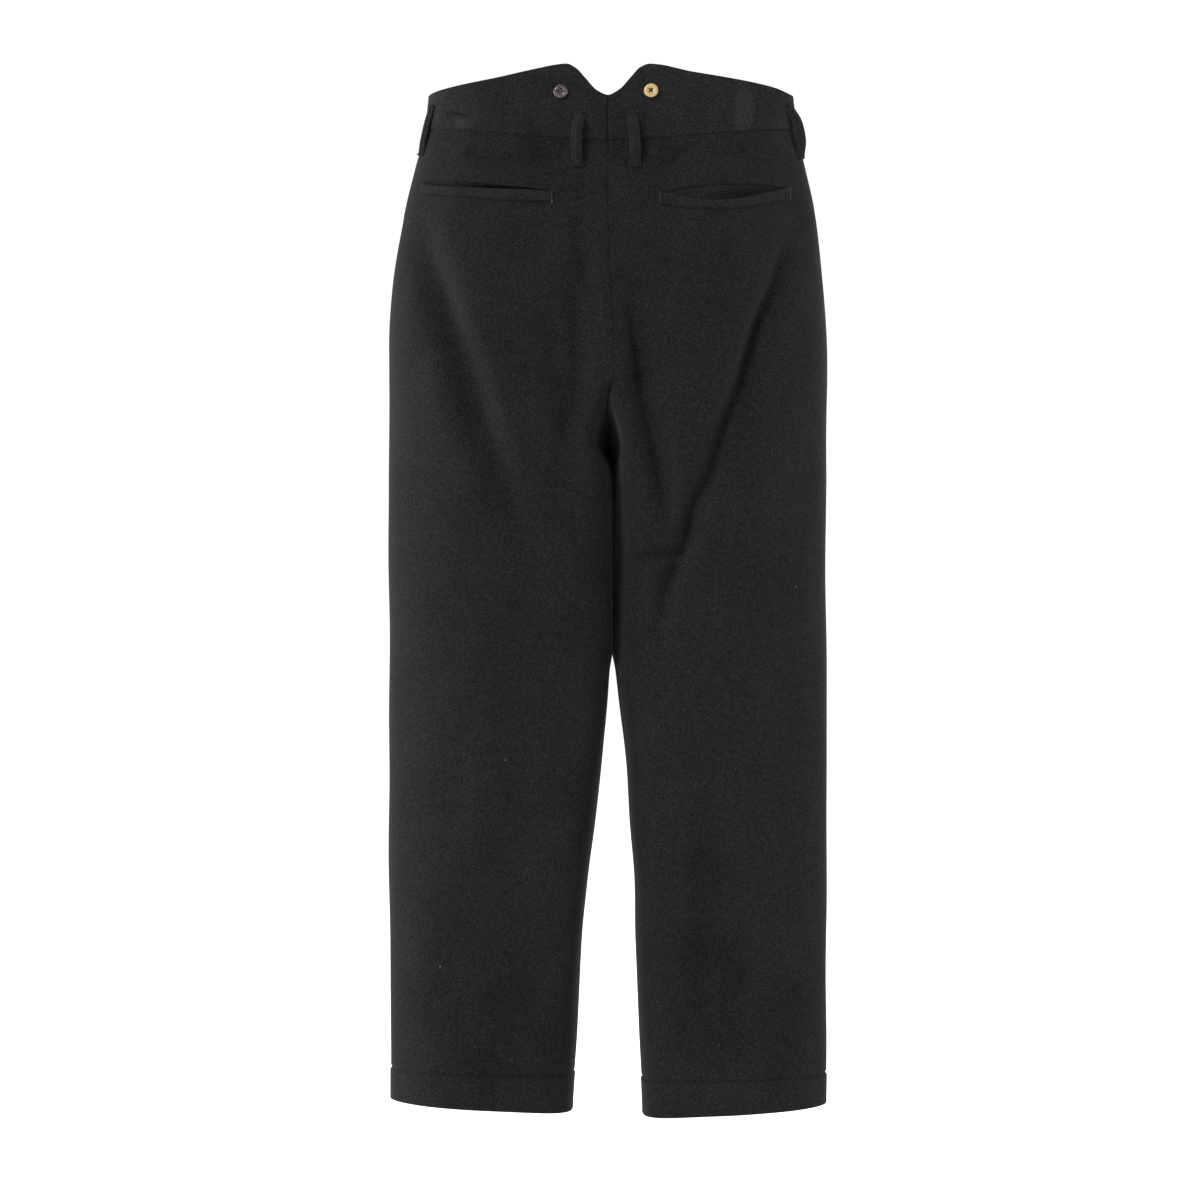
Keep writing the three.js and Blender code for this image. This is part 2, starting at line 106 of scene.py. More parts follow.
sunData = bpy.data.lights.new("windowSun", "SUN")
sunData.energy = light["sunPower"]
sunData.angle = math.radians(light["sunAngle"])
sun = addObject("windowSun", sunData)
sun.rotation_euler = [math.radians(angle) for angle in light["sunTurn"]]

for window in windows:
    windowData = bpy.data.lights.new(window["name"], "AREA")
    windowData.energy = window["power"]
    windowData.size = window["size"]
    pane = addObject(window["name"], windowData)
    pane.location = window["place"]
    pane.rotation_euler = (Vector(light["aim"]) - pane.location).to_track_quat("-Z", "Y").to_euler()

print("stage 2: materials")


# A shader node group with number sockets: its tree, the inputs as seen from inside, and the node they leave by.
def startGroup(name, inputs, outputs):
    group = bpy.data.node_groups.new(name, "ShaderNodeTree")
    addSocket = group.interface.new_socket
    for socket, default in inputs.items():
        addSocket(socket, in_out="INPUT", socket_type="NodeSocketFloat").default_value = default
    for socket in outputs:
        addSocket(socket, in_out="OUTPUT", socket_type="NodeSocketFloat")
    return group, group.nodes.new("NodeGroupInput").outputs, group.nodes.new("NodeGroupOutput")


nap = {"fibreScale": 900, "fleckScale": 1150, "patchScale": 22}


# Wool grain: short fibres lying down the cloth, with slow patches where the nap leans another way.
def makeWoolGrain():
    group, entry, leave = startGroup("woolGrain", {"Grain Size": 1, "Fibre Stretch": 3, "Fleck": 0.5, "Patch": 0.5},
                                     ("Shade", "Height"))
    place = addNode(group, "TexCoord").outputs["Object"]
    squeeze = reckon(group, "DIVIDE", 1, entry["Fibre Stretch"])
    stretch = addNode(group, "CombineXYZ", {"X": 1, "Y": 1, "Z": squeeze}).outputs[0]
    along = addNode(group, "VectorMath", {0: place, 1: stretch}, operation="MULTIPLY").outputs[0]
    fibreScale = reckon(group, "DIVIDE", nap["fibreScale"], entry["Grain Size"])
    fibres = addNode(group, "TexNoise", {"Vector": along, "Scale": fibreScale, "Detail": 3, "Roughness": 0.65})
    fleckScale = reckon(group, "DIVIDE", nap["fleckScale"], entry["Grain Size"])
    flecks = addNode(group, "TexNoise", {"Vector": place, "Scale": fleckScale, "Detail": 1, "Roughness": 0.5})
    patches = addNode(group, "TexNoise", {"Vector": along, "Scale": nap["patchScale"], "Detail": 4, "Roughness": 0.6})
    fleck = reckon(group, "MULTIPLY", reckon(group, "SUBTRACT", flecks.outputs["Fac"], 0.5), entry["Fleck"])
    patch = reckon(group, "MULTIPLY", reckon(group, "SUBTRACT", patches.outputs["Fac"], 0.5), entry["Patch"])
    height = reckon(group, "ADD", fibres.outputs["Fac"], fleck)
    feed(leave, {"Shade": reckon(group, "ADD", height, patch), "Height": height})
    return group


woolGrain = makeWoolGrain()


# An oval mask, used for rubbed wear and for painted shade and light: 1 in the middle of an oval across x and z, fading
# out to its edge.
def makeWearAndShadingOval():
    group, entry, leave = startGroup("wearAndShadingOval", {"Across": 0, "Height": 0, "Half Width": 0.01, "Half Height": 0.01},
                                     ("Mask",))
    axes = addNode(group, "SeparateXYZ", {0: addNode(group, "TexCoord").outputs["Object"]}).outputs
    squares = []
    for axis, middle, half in (("X", "Across", "Half Width"), ("Z", "Height", "Half Height")):
        share = reckon(group, "DIVIDE", reckon(group, "SUBTRACT", axes[axis], entry[middle]), entry[half])
        squares.append(reckon(group, "MULTIPLY", share, share))
    mask = addNode(group, "MapRange", {"Value": reckon(group, "ADD", *squares), "From Min": 2.6, "From Max": 0.1},
                   interpolation_type="SMOOTHSTEP")
    feed(leave, {"Mask": mask.outputs["Result"]})
    return group


wearAndShadingOval = makeWearAndShadingOval()

# Each marked place, lighter or darker: its x and z, half width and half height, and change of shade. On the band these
# are rubbed, worn places; on the back leg panels they are painted shading, with painted shade along the lower-leg
# creases and a painted light band down the left leg's outer side.
woolLooks = {
    "panelWool": {"dark": (0.007, 0.0062, 0.0066), "mid": (0.0188, 0.0169, 0.0176), "light": (0.05, 0.0455, 0.0465),
                  "size": 1.0, "stretch": 1.7, "fleck": 0.7, "patch": 0.16, "bump": 0.45,
                  # painted shading: the darker ovals are painted shade on the lower-leg creases, the lighter one is
                  # painted light on the left leg's lit side
                  "worn": [(101, -815, 16, 70, -0.04), (108, -942, 38, 66, -0.055), (183, -970, 22, 48, -0.058),
                           (-96, -980, 58, 52, -0.045), (-172, -650, 34, 150, 0.035)]},
    "bandWool": {"dark": (0.0084, 0.0075, 0.0079), "mid": (0.0228, 0.0206, 0.0213), "light": (0.058, 0.053, 0.054),
                 "size": 1.0, "stretch": 1.3, "fleck": 0.8, "patch": 0.26, "bump": 0.5,
                 "worn": [(143, -8, 9, 22, 0.15), (-152, -18, 8, 6, 0.12), (-188, 0, 12, 16, 0.05)]},
    # The loops' wool is the band's cloth made a little lighter; the lightening is painted light on the raised loops.
    "loopWoolWithPaintedLight": {"dark": (0.0088, 0.0079, 0.0083), "mid": (0.0236, 0.0213, 0.022), "light": (0.06, 0.0546, 0.0552),
                 "size": 0.9, "stretch": 1.6, "fleck": 0.6, "patch": 0.12, "bump": 0.45, "worn": []},
}
woolLooks["frontBandWool"] = {**woolLooks["bandWool"], "worn": []}
woolLooks["frontPanelWool"] = {**woolLooks["panelWool"], "worn": []}
woolFinish = {"Roughness": 0.94, "Specular IOR Level": 0.2, "Sheen Weight": 0.24, "Sheen Roughness": 0.42,
              "Sheen Tint": (0.55, 0.52, 0.53, 1)}
woolShades = (0.3, 0.5, 0.74) # where the dark, mid and light colours stand in the grain


def startMaterial(name, finish):
    material = bpy.data.materials.new(name)
    material.use_nodes = True
    shader = material.node_tree.nodes["Principled BSDF"]
    feed(shader, finish)
    return material, material.node_tree, shader


def addRamp(tree, value, positions, colours):
    ramp = addNode(tree, "ValToRGB", {"Fac": value})
    elements = ramp.color_ramp.elements
    for count, (position, colour) in enumerate(zip(positions, colours)):
        element = elements[count] if count < 2 else elements.new(position)
        element.position = position
        element.color = (*colour, 1)
    return ramp.outputs["Color"]


def addBump(tree, height, strength, distance):
    bump = addNode(tree, "Bump", {"Height": height, "Strength": strength, "Distance": distance * mm})
    return bump.outputs["Normal"]


def makeWool(name, look):
    material, tree, shader = startMaterial(name, woolFinish)
    grain = addNode(tree, "Group", {"Grain Size": look["size"], "Fibre Stretch": look["stretch"],
                                    "Fleck": look["fleck"], "Patch": look["patch"]}, node_tree=woolGrain)
    shade = grain.outputs["Shade"]
    # Each oval shifts the grain's shade: rubbed wear on the band, painted shade and painted light on the back panels.
    for x, z, halfWidth, halfHeight, change in look["worn"]:
        oval = addNode(tree, "Group", {"Across": x * mm, "Height": z * mm, "Half Width": halfWidth * mm,
                                       "Half Height": halfHeight * mm}, node_tree=wearAndShadingOval)
        shade = reckon(tree, "MULTIPLY_ADD", oval.outputs["Mask"], change, shade)
    feed(shader, {"Base Color": addRamp(tree, shade, woolShades, (look["dark"], look["mid"], look["light"])),
                  "Normal": addBump(tree, grain.outputs["Height"], look["bump"], 0.7)})
    return material


wool = {name: makeWool(name, look) for name, look in woolLooks.items()}


# Horn buttons: cloudy streaks, polished on the black ones and satin on the pale one.
hornLooks = {
    "blackHorn": {"dark": (0.05, 0.041, 0.047), "light": (0.19, 0.16, 0.182), "roughness": 0.2, "coat": 1,
                  "scale": 160},
    "paleHorn": {"dark": (1.0, 0.64, 0.25), "light": (1.0, 0.8, 0.42), "roughness": 0.3, "coat": 0.8,
                 "scale": 190},
}


def makeHorn(name, look):
    material, tree, shader = startMaterial(name, {"Coat Weight": look["coat"], "Coat Roughness": 0.14})
    place = addNode(tree, "TexCoord").outputs["Object"]
    streaks = addNode(tree, "TexNoise", {"Vector": place, "Scale": look["scale"], "Detail": 3, "Distortion": 1.2})
    cloud = streaks.outputs["Fac"]
    rough = addNode(tree, "MapRange", {"Value": cloud, "To Min": look["roughness"] * 0.8,
                                       "To Max": look["roughness"] * 1.5})
    feed(shader, {"Base Color": addRamp(tree, cloud, (0.35, 0.62), (look["dark"], look["light"])),
                  "Roughness": rough.outputs["Result"], "Normal": addBump(tree, cloud, 0.15, 0.3)})
    return material


horn = {name: makeHorn(name, look) for name, look in hornLooks.items()}

threadLooks = {
    "darkThread": {"dark": (0.006, 0.0055, 0.006), "light": (0.03, 0.028, 0.029)},
    "greyThread": {"dark": (0.07, 0.065, 0.065), "light": (0.2, 0.19, 0.19)},
    "paleThread": {"dark": (0.3, 0.29, 0.28), "light": (0.6, 0.59, 0.57)},
}


def makeThread(name, look):
    material, tree, shader = startMaterial(name, {"Roughness": 0.7})
    place = addNode(tree, "TexCoord").outputs["Object"]
    twist = addNode(tree, "TexWave", {"Vector": place, "Scale": 700, "Distortion": 1.5, "Detail": 1},
                    bands_direction="DIAGONAL").outputs["Fac"]
    feed(shader, {"Base Color": addRamp(tree, twist, (0, 1), (look["dark"], look["light"])),
                  "Normal": addBump(tree, twist, 0.4, 0.2)})
    return material


thread = {name: makeThread(name, look) for name, look in threadLooks.items()}

print("stage 3: the cut")

# Level cuts of the legs and trunk, as the solids have them but for the fuller shoulder of the lower legs.
sections = named(
    "height outer lean middle side back front gap sway seamBack seamFront turnBack turnFront stagger shoulder",
    (60, 191, 2.8, 80, 0, -56, 56, 0, 0, -57, 57, 0, 0, 0, 0.56),
    (18, 194, 2.8, 80, 0, -57, 57, 0, 0, -58, 58, 0, 0, 0, 0.56),
    (-20, 198.5, 3.2, 80, 0, -60, 59, 0, 0, -61, 60, 0, 0, 0, 0.56),
    (-60, 208.5, 2.4, 82, -1, -66, 63, 0, 0, -67, 63, 0, 0, 0, 0.56),
    (-100, 218, 1.9, 86, -2, -76, 69, 0, 0, -78, 67, 0, 0, 0, 0.56),
    (-150, 226, 1.2, 92, -3, -87, 77, 0, 0.4, -89, 73, 0, 0, 0, 0.56),
    (-200, 230.8, 0.7, 98, -3, -94, 83, 0, 3, -96, 78, 0, 0, 0, 0.56),
    (-250, 233.4, 0, 103, -2, -97, 87, 0, 6, -98.5, 80, 0, 0, 0, 0.56),
    (-275, 233.8, 0, 97, -1, -96.8, 88, 0, 6.4, -97.2, 79.5, 0.3, 0.05, 0, 0.7),
    (-294, 234, 0, 89, -1, -96, 88, 0, 4.8, -96, 78.2, 0.88, 0.2, 0, 1.05),
    (-302, 234, 0, 85, 0, -95.7, 88, 0, 1.4, -88, 76.8, 0.95, 0.34, 0, 1.1),
    (-308, 234, 0, 83, 0, -95.4, 88, 0, -0.4, -70, 75.4, 0.97, 0.48, 0, 1.13),
    (-317, 234, 0, 82, 0, -95, 88, 0, -0.8, -40, 72, 0.96, 0.68, 0, 1.14),
    (-328, 234, 0, 82, 0, -94.4, 87.9, 0, -0.4, -10, 67, 0.92, 0.86, 0, 1.15),
    (-342, 234, 0, 82, 0, -93.4, 87.5, 0, 0.3, 12, 57, 0.865, 0.96, 0, 1.15),
    (-353, 234, 0, 82, 0, -92.5, 87, 0, 0.7, 25, 48, 0.83, 1, 0, 1.15),
    (-362, 234, 0, 82, 0, -91.5, 86.5, 0, 2.2, 36, 36.6, 0.84, 1, 0, 1.14),
    (-376, 234, 0, 84, 0, -90, 86, -1.7, 4.6, 34, 34, 0.885, 1, 17, 1.1),
    (-390, 234, 0, 88, 0, -88.5, 85, -1.9, 5.4, 30, 30, 0.915, 1, 23, 1.05),
    (-405, 233.8, 0, 92, 0, -86.8, 84, -2.1, 5.3, 25, 25, 0.925, 1, 26, 1),
    (-430, 233.6, 0, 98, 0, -84.5, 82, -2.1, 4.8, 18, 18, 0.937, 1, 27, 0.94),
    (-500, 233.6, 0, 110, 0, -76, 76, -2.1, 2.6, 8, 8, 0.97, 1, 27, 0.76),
    (-545, 233.6, 0, 116, 0, -71, 71, -1.9, 3.2, 4, 4, 1, 1, 24, 0.74),
    (-576, 233.7, 0, 118, 0, -68, 68, -0.5, 4.4, 2, 2, 1, 1, 16, 0.74),
    (-597, 233.8, 0, 119, 0, -66, 66, 2.9, 4.8, 1, 1, 1, 1, 12, 0.87),
    (-629, 234, 0, 120, 0, -64, 64, 5.9, 5.5, 0, 0, 1, 1, 8, 0.87),
    (-693, 234.4, 0, 123, 0, -61, 61, 12.7, 6.4, 0, 0, 1, 1, 2, 0.87),
    (-758, 234.4, 0, 126, 0, -59, 59, 18.2, 4.8, 0, 0, 1, 1, 0, 0.87),
    (-822, 234.2, 0, 129, 0, -58, 58, 25, 3.2, 0, 0, 1, 1, 0, 0.87),
    (-886, 233.8, 0, 131, 0, -57, 57, 28.6, 0.6, 0, 0, 1, 1, 0, 0.87),
    (-980, 233, 0, 133, 0, -56, 56, 32.8, 0.2, 0, 0, 1, 1, 0, 0.87),
    (-1080, 233, 0, 135, 0, -55, 55, 37.8, -0.6, 0, 0, 1, 1, 0, 0.87),
)
cloth = {"roundness": 0.56, "thickness": 2.0, "halfWidth": 234, "overlap": 0.5, "seamDip": 1.0, "seamDipWidth": 2.2,
         "bandDip": 1.2, "bandDipWidth": 1.7, "turnFrom": 0.86, "forkHeight": -362.5, "rim": 0.0014}
hem = {"height": -1061, "thickness": 4.2, "turnedTop": -1029, "turnedFade": 3, "line": {-1: -1025.5, 1: -1031.5},
       "lineRise": 4, "drop": {-1: 6.5, 1: 1.5}, "middleRise": 12, "easeFrom": -900, "easeOver": 130,
       "groove": 1.3, "grooveWidth": 1.3, "turnedProud": 0.8,
       "sewnFrom": 44, "sewnTo": 228, "stitches": 50}
band = {"seamSides": -20, "seamDip": 19, "seamDipFront": 9, "topSides": 16, "topDipFront": 9,
        "halfWidth": 200, "thickness": 3.4, "proud": 1.1, "edgeSink": 1.3, "edgeSinkWidth": 2.2,
        "footSink": 0.7, "footSinkWidth": 1.3, "ripple": 0.3, "rippleLength": 17}
fishtail = named("across left right",
                 (0, 9, 9), (12, 14, 15), (24, 27, 28), (34, 37.5, 38.5), (44, 42, 42), (56, 40.8, 41),
                 (70, 38, 38), (86, 34.6, 34.2), (118, 28, 29.4), (153, 22.6, 24.6), (178, 19, 20.6),
                 (196, 16.5, 16.5))

# Folds: depth is negative in a trough, width is its half width, and each fades out at both of its ends.
folds = named(
    "face depth width path",
    (-1, -9, 17, [
        (-200, -112), (-196, -150), (-184, -190), (-168, -226), (-152, -262), (-140, -300), (-128, -340),
        (-116, -380), (-102, -420), (-86, -462), (-66, -511)]),
    (-1, -9, 12, [
        (198, -100), (196, -134), (188, -160), (176, -197), (160, -232), (151, -262), (140, -310), (125, -345),
        (117, -376), (103, -410), (92, -440), (82, -468), (62, -500), (50, -540)]),
    (-1, -9, 13, [
        (-34, -170), (-32, -220), (-31, -270), (-34, -314), (-40, -345), (-42, -376), (-41, -418), (-34, -470)]),
    (-1, -9, 13, [
        (22, -180), (27, -230), (35, -270), (42, -314), (51, -355), (58, -395), (63, -435), (64, -470)]),
    (1, -7, 15, [
        (-198, -110), (-186, -180), (-160, -260), (-128, -340), (-96, -420), (-66, -500)]),
    (1, -7, 15, [
        (196, -120), (182, -190), (154, -270), (122, -350), (92, -430), (64, -520)]),
    (1, -6, 13, [(-34, -210), (-38, -270), (-46, -340), (-56, -410)]),
    (1, -6, 13, [(36, -230), (42, -290), (50, -360), (58, -430)]),
)

# Finer creases laid over the folds, only in the cloth's surface.
creases = named(
    "face depth width path",
    (-1, -8.2, 11, [
        (187, -150), (173, -192), (159, -232), (145, -274), (121, -334), (103, -389), (85, -424), (80, -459),
        (63, -515)]),
    (-1, -8.4, 10.5, [(18, -200), (27, -245), (32, -305), (43, -353), (54, -400), (59, -440)]),
    (-1, -5, 6, [(94, -396), (86, -430), (82, -470)]),
    (-1, -9, 6, [(24, -477), (54, -476), (84, -470)]),
    (-1, -6.5, 11, [(72, -478), (62, -520), (52, -570)]),
    (-1, -4.4, 17, [(-195, -119), (-178, -195), (-162, -269), (-144, -329), (-114, -400)]),
    (-1, 2.3, 15, [(-158, -190), (-140, -250), (-112, -320), (-92, -385), (-77, -430), (-56, -506)]),
    (-1, -4.6, 8, [(-30, -108), (-31, -154), (-18, -203)]),
    (-1, -8, 11.5, [(-65, -208), (-54, -280), (-47, -329), (-54, -376)]),
    (-1, 2.2, 6, [(-12, -143), (-7, -185), (-4, -230), (-7, -300)]),
    (-1, 1.6, 6, [(15, -230), (18, -290), (25, -340)]),
    (-1, -5.5, 8, [(-149, -52), (-110, -61), (-80, -64), (-42, -57)]),
    (-1, -4, 6.5, [(48, -76), (72, -58), (96, -35)]),
    (-1, -3.6, 9, [(110, -45), (140, -62), (170, -66)]),
    (-1, -4, 8, [(-5, -78), (2, -104), (12, -128)]),
    (-1, -3.6, 2.2, [(-170, -7), (-156, -9.5), (-140, -15)]),
    (-1, -1, 4, [(-182, 3), (-150, 3), (-118, 10)]),
    (-1, -1, 5, [(-178, -9), (-130, -6), (-90, -3)]),
    (-1, -1, 5, [(80, -6), (120, -2), (176, -6)]),
    (-1, 3, 26, [(-132, -530), (-128, -640), (-124, -720), (-122, -810)]),
    (-1, -4.6, 17, [(104, -770), (101, -830), (98, -900), (97, -968)]),
    (-1, -3.2, 12, [(199, -915), (190, -960), (170, -1008)]),
    (-1, -3.2, 18, [(-46, -880), (-75, -930), (-114, -975)]),
    (-1, -1.4, 18, [(150, -600), (132, -690), (124, -780), (122, -860)]),
    (-1, -1.4, 14, [(196, -480), (186, -580), (188, -700)]),
    (1, -2, 14, [(-150, -560), (-124, -650), (-112, -760)]),
    (1, -2, 14, [(150, -540), (126, -640), (116, -760)]),
    (1, -1.8, 10, [(20, -96), (44, -120), (60, -150)]),
    (1, -1.8, 10, [(-44, -90), (-60, -118), (-70, -150)]),
    (1, -1.6, 6, [(60, -440), (84, -446), (110, -440)]),
)

# Slow waves of the hanging cloth, each swelling and fading down the leg.
waves = named(
    "depth across down swell start",
    (0.9, 118, 560, 830, 0.4),
    (0.6, 71, -340, 410, 2.1),
    (0.5, 160, 190, 620, 1.3),
)


# Smooth steps between the rows of a table, with no bulges between them.
def between(table, at, key, value):
    rows = sorted(table, key=lambda row: row[key])
    x = np.array([row[key] for row in rows], float)
    y = np.array([row[value] for row in rows], float)
    slope = np.diff(y) / np.diff(x)
    before, after = np.append(0, slope), np.append(slope, 0)
    product = before * after
    tangent = np.where(product > 0, 2 * product / np.where(product > 0, before + after, 1), 0)
    i = np.clip(np.searchsorted(x, at) - 1, 0, len(x) - 2)
    span = x[i + 1] - x[i]
    t = np.clip((at - x[i]) / span, 0, 1)
    return ((2 * t**3 - 3 * t**2 + 1) * y[i] + (t**3 - 2 * t**2 + t) * span * tangent[i]
            + (3 * t**2 - 2 * t**3) * y[i + 1] + (t**3 - t**2) * span * tangent[i + 1])


def cubic(t, a, b, c, d):
    s = 1 - t
    return s**3 * a + 3 * s * s * t * b + 3 * s * t * t * c + t**3 * d


def smoothStep(low, high, value):
    t = np.clip((value - low) / (high - low), 0, 1)
    return t * t * (3 - 2 * t)


# The plain outline: around is 0 at the side seam and 1 at the inner edge of a panel.
def plain(side, face, z, around):
    cut = {name: between(sections, z, "height", name) for name in list(sections[0])[1:]}
    outer = cut["outer"] + side * cut["lean"]
    inner = cut["gap"] + side * cut["sway"]
    half = faceNames[face]
    depth, seam, turn = cut[half], cut["seam" + half.title()], cut["turn" + half.title()]
    seam = seam + side * cut["stagger"]
    turn = turn * math.pi / 2
    reach = cloth["roundness"]
    middle = cut["middle"]
    t = np.where(around <= 0.5, around * 2, around * 2 - 1)
    full = cut["shoulder"] if face < 0 else reach
    across = full * (middle - inner)
    xOuter = cubic(t, outer, outer, middle + reach * (outer - middle), middle)
    yOuter = cubic(t, cut["side"], cut["side"] + reach * (depth - cut["side"]), depth, depth)
    xInner = cubic(t, middle, middle - across, inner + np.cos(turn) * across, inner)
    yInner = cubic(t, depth, depth, seam + np.sin(turn) * full * (depth - seam), seam)
    return side * np.where(around <= 0.5, xOuter, xInner), np.where(around <= 0.5, yOuter, yInner)


def troughs(table, face, x, z):
    move = np.zeros_like(x)
    for fold in table:
        if fold["face"] != face:
            continue
        nearest = np.full_like(x, np.inf)
        fade = np.zeros_like(x)
        steps = len(fold["path"]) - 1
        for i in range(steps):
            (ax, az), (bx, bz) = fold["path"][i], fold["path"][i + 1]
            t = ((x - ax) * (bx - ax) + (z - az) * (bz - az)) / ((bx - ax) ** 2 + (bz - az) ** 2)
            t = np.clip(t, 0, 1)
            away = np.hypot(x - ax - t * (bx - ax), z - az - t * (bz - az))
            closer = away < nearest
            fade = np.where(closer, np.sqrt(np.maximum(0, np.sin(np.pi * (i + t) / steps))), fade)
            nearest = np.where(closer, away, nearest)
        move += fold["depth"] * fade * np.exp(-((nearest / fold["width"]) ** 2))
    return move


# How far the inner edge of a panel turns in towards the fork's seam.
def turnAt(face, z):
    return between(sections, z, "height", "turn" + faceNames[face].title())


# The outer skin: points of the folded cloth and the level directions that point out of it.
def skin(side, face, z, around):
    x, y = plain(side, face, z, around)
    fromX, fromY = plain(side, face, z, np.maximum(0, around - 0.01))
    toX, toY = plain(side, face, z, np.minimum(1, around + 0.01))
    edge = around < 0.01
    fromX, fromY = np.where(edge, toX, fromX), np.where(edge, 2 * y - toY, fromY)
    outX, outY = side * face * (toY - fromY), side * face * (fromX - toX)
    length = np.hypot(outX, outY)
    outX, outY = outX / length, outY / length
    move = troughs(folds + creases, face, x, z)
    for wave in waves:
        phase = 2 * math.pi * (x / wave["across"] + z / wave["down"]) + wave["start"]
        swell = np.sin(2 * math.pi * (z / wave["swell"] + x / 900) + 2 * wave["start"])
        move += wave["depth"] * np.sin(phase) * swell * smoothStep(-40, -140, z) # none at the band
    move *= 1 - turnAt(face, z) * smoothStep(cloth["turnFrom"], 1, around)
    points = np.stack([x + outX * move, y + outY * move, z + 0 * x], axis=-1)
    return points, np.stack([outX, outY, 0 * outX], axis=-1)


# The same where only the distance across and the height are known.
def skinAcross(face, x, z):
    x, z = np.broadcast_arrays(np.asarray(x, float), np.asarray(z, float))
    side = np.where(x < 0, -1, 1)
    low, high = np.zeros(x.shape), np.ones(x.shape)
    for _ in range(22):
        middle = (low + high) / 2
        beyond = np.abs(plain(side, face, z, middle)[0]) > np.abs(x)
        low, high = np.where(beyond, middle, low), np.where(beyond, high, middle)
    return skin(side, face, z, low)


def skinAt(face, x, z):
    point, out = skinAcross(face, x, z)
    return Vector(point), Vector(out)


def nearMiddle(x):
    return 1 - np.minimum(1, np.abs(x) / band["halfWidth"]) ** 1.5


def bandSeam(face, x):
    return band["seamSides"] - nearMiddle(x) * (band["seamDip"] if face < 0 else band["seamDipFront"])


def bandTop(face, x):
    if face < 0:
        return between(fishtail, np.abs(x), "across", "left" if np.min(x) < -1 else "right")
    return band["topSides"] - band["topDipFront"] * nearMiddle(x)


def seamHeight(side, face, around):
    height = band["seamSides"] + 0 * around
    for _ in range(4):
        height = bandSeam(face, plain(side, face, height, around)[0])
    return height


def addMesh(name, points, faces, material):
    mesh = bpy.data.meshes.new(name)
    mesh.from_pydata([tuple(value * mm for value in point) for point in points], [], faces)
    mesh.shade_smooth()
    mesh.materials.append(material)
    return addObject(name, mesh)


# A closed shell between two grids of points, in millimetres, made into a mesh in metres.
def makeShell(name, node, outer, inner, material):
    rows, cols = outer.shape[:2]
    points = np.concatenate([outer.reshape(-1, 3), inner.reshape(-1, 3)])
    index = np.arange(rows * cols).reshape(rows, cols)
    far = index + rows * cols
    quads = np.concatenate([
        np.stack([index[:-1, :-1], index[:-1, 1:], index[1:, 1:], index[1:, :-1]], -1).reshape(-1, 4),
        np.stack([far[:-1, :-1], far[1:, :-1], far[1:, 1:], far[:-1, 1:]], -1).reshape(-1, 4),
        np.stack([index[:-1, 0], index[1:, 0], far[1:, 0], far[:-1, 0]], -1),
        np.stack([index[:-1, -1], far[:-1, -1], far[1:, -1], index[1:, -1]], -1),
        np.stack([index[0, :-1], far[0, :-1], far[0, 1:], index[0, 1:]], -1),
        np.stack([index[-1, :-1], index[-1, 1:], far[-1, 1:], far[-1, :-1]], -1),
    ])
    a, b, c, d = (points[quads[:, k]] for k in range(4))
    volume = np.sum(a * np.cross(b, c)) + np.sum(a * np.cross(c, d))
    if volume < 0: # the faces would look inwards
        quads = quads[:, ::-1]
    piece = addMesh(name, points.tolist(), quads.tolist(), material)
    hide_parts(node)
    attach(piece, "root")
    return piece


# Rounds the rim of a shell: the first rows and columns sink towards the middle of the cloth.
rimSteps = (0.45, 0.14, 0.0)


def rounded(points, out, thickness):
    rows, cols = points.shape[:2]
    fromRow = np.minimum(np.arange(rows), np.arange(rows)[::-1])[:, None] + np.zeros((rows, cols), int)
    fromCol = np.minimum(np.arange(cols), np.arange(cols)[::-1])[None, :] + np.zeros((rows, cols), int)
    steps, last = np.array(rimSteps), len(rimSteps) - 1
    sink = np.maximum(steps[np.minimum(fromRow, last)], steps[np.minimum(fromCol, last)])[..., None]
    deep = thickness[..., None] if hasattr(thickness, "shape") else thickness
    return points - out * deep * sink, points - out * deep * (1 - sink)


# Even steps with two close ones at each end, for the rim.
def rimmed(low, high, count, close):
    inside = np.linspace(low + close * 3, high - close * 3, count)
    return np.concatenate([[low, low + close], inside, [high - close, high]])


print("stage 4: leg panels")

# Pocket mouths: the cut edge above, the welt's lip below and the welt's seam under it, from the inner end.
mouths = {
    -1: {"ends": (59.5, 199), "step": 2.2, "deep": 4, "deepAt": 120, "deepWidth": 60, "rows": named(
        "across upper lip seam",
        (57, -94.6, -95.0, -105.8), (82, -91.2, -93.2, -104.6), (113, -87.6, -92.0, -103.3),
        (140, -84.0, -90.2, -100.6), (166, -80.8, -87.8, -97.8), (187, -79.6, -84.6, -94.2),
        (199, -80.2, -81.0, -92.0))},
    1: {"ends": (54.5, 190), "step": 2.0, "deep": 5.5, "deepAt": 142, "deepWidth": 30, "rows": named(
        "across upper lip seam",
        (53, -95.4, -95.9, -108.6), (72, -91.2, -99.6, -110.8), (88, -87.8, -102.6, -112.2),
        (110, -84.8, -104.2, -112.6), (133, -83.8, -102.4, -112.0), (160, -84.2, -96.6, -107.4),
        (176, -85.6, -91.4, -103.6), (191, -87.4, -87.9, -100.4))},
}
# A back panel's rows between floor and roof are drawn in to the mouth, the rows at lip and upper onto its edges.
mouthRows = {"floor": -128, "lip": -95.5, "upper": -89.5, "roof": -66}
panelCuts = {-1: {"columns": 118, "spacing": 3.4, "wool": "panelWool"},
             1: {"columns": 72, "spacing": 4.2, "wool": "frontPanelWool"}}


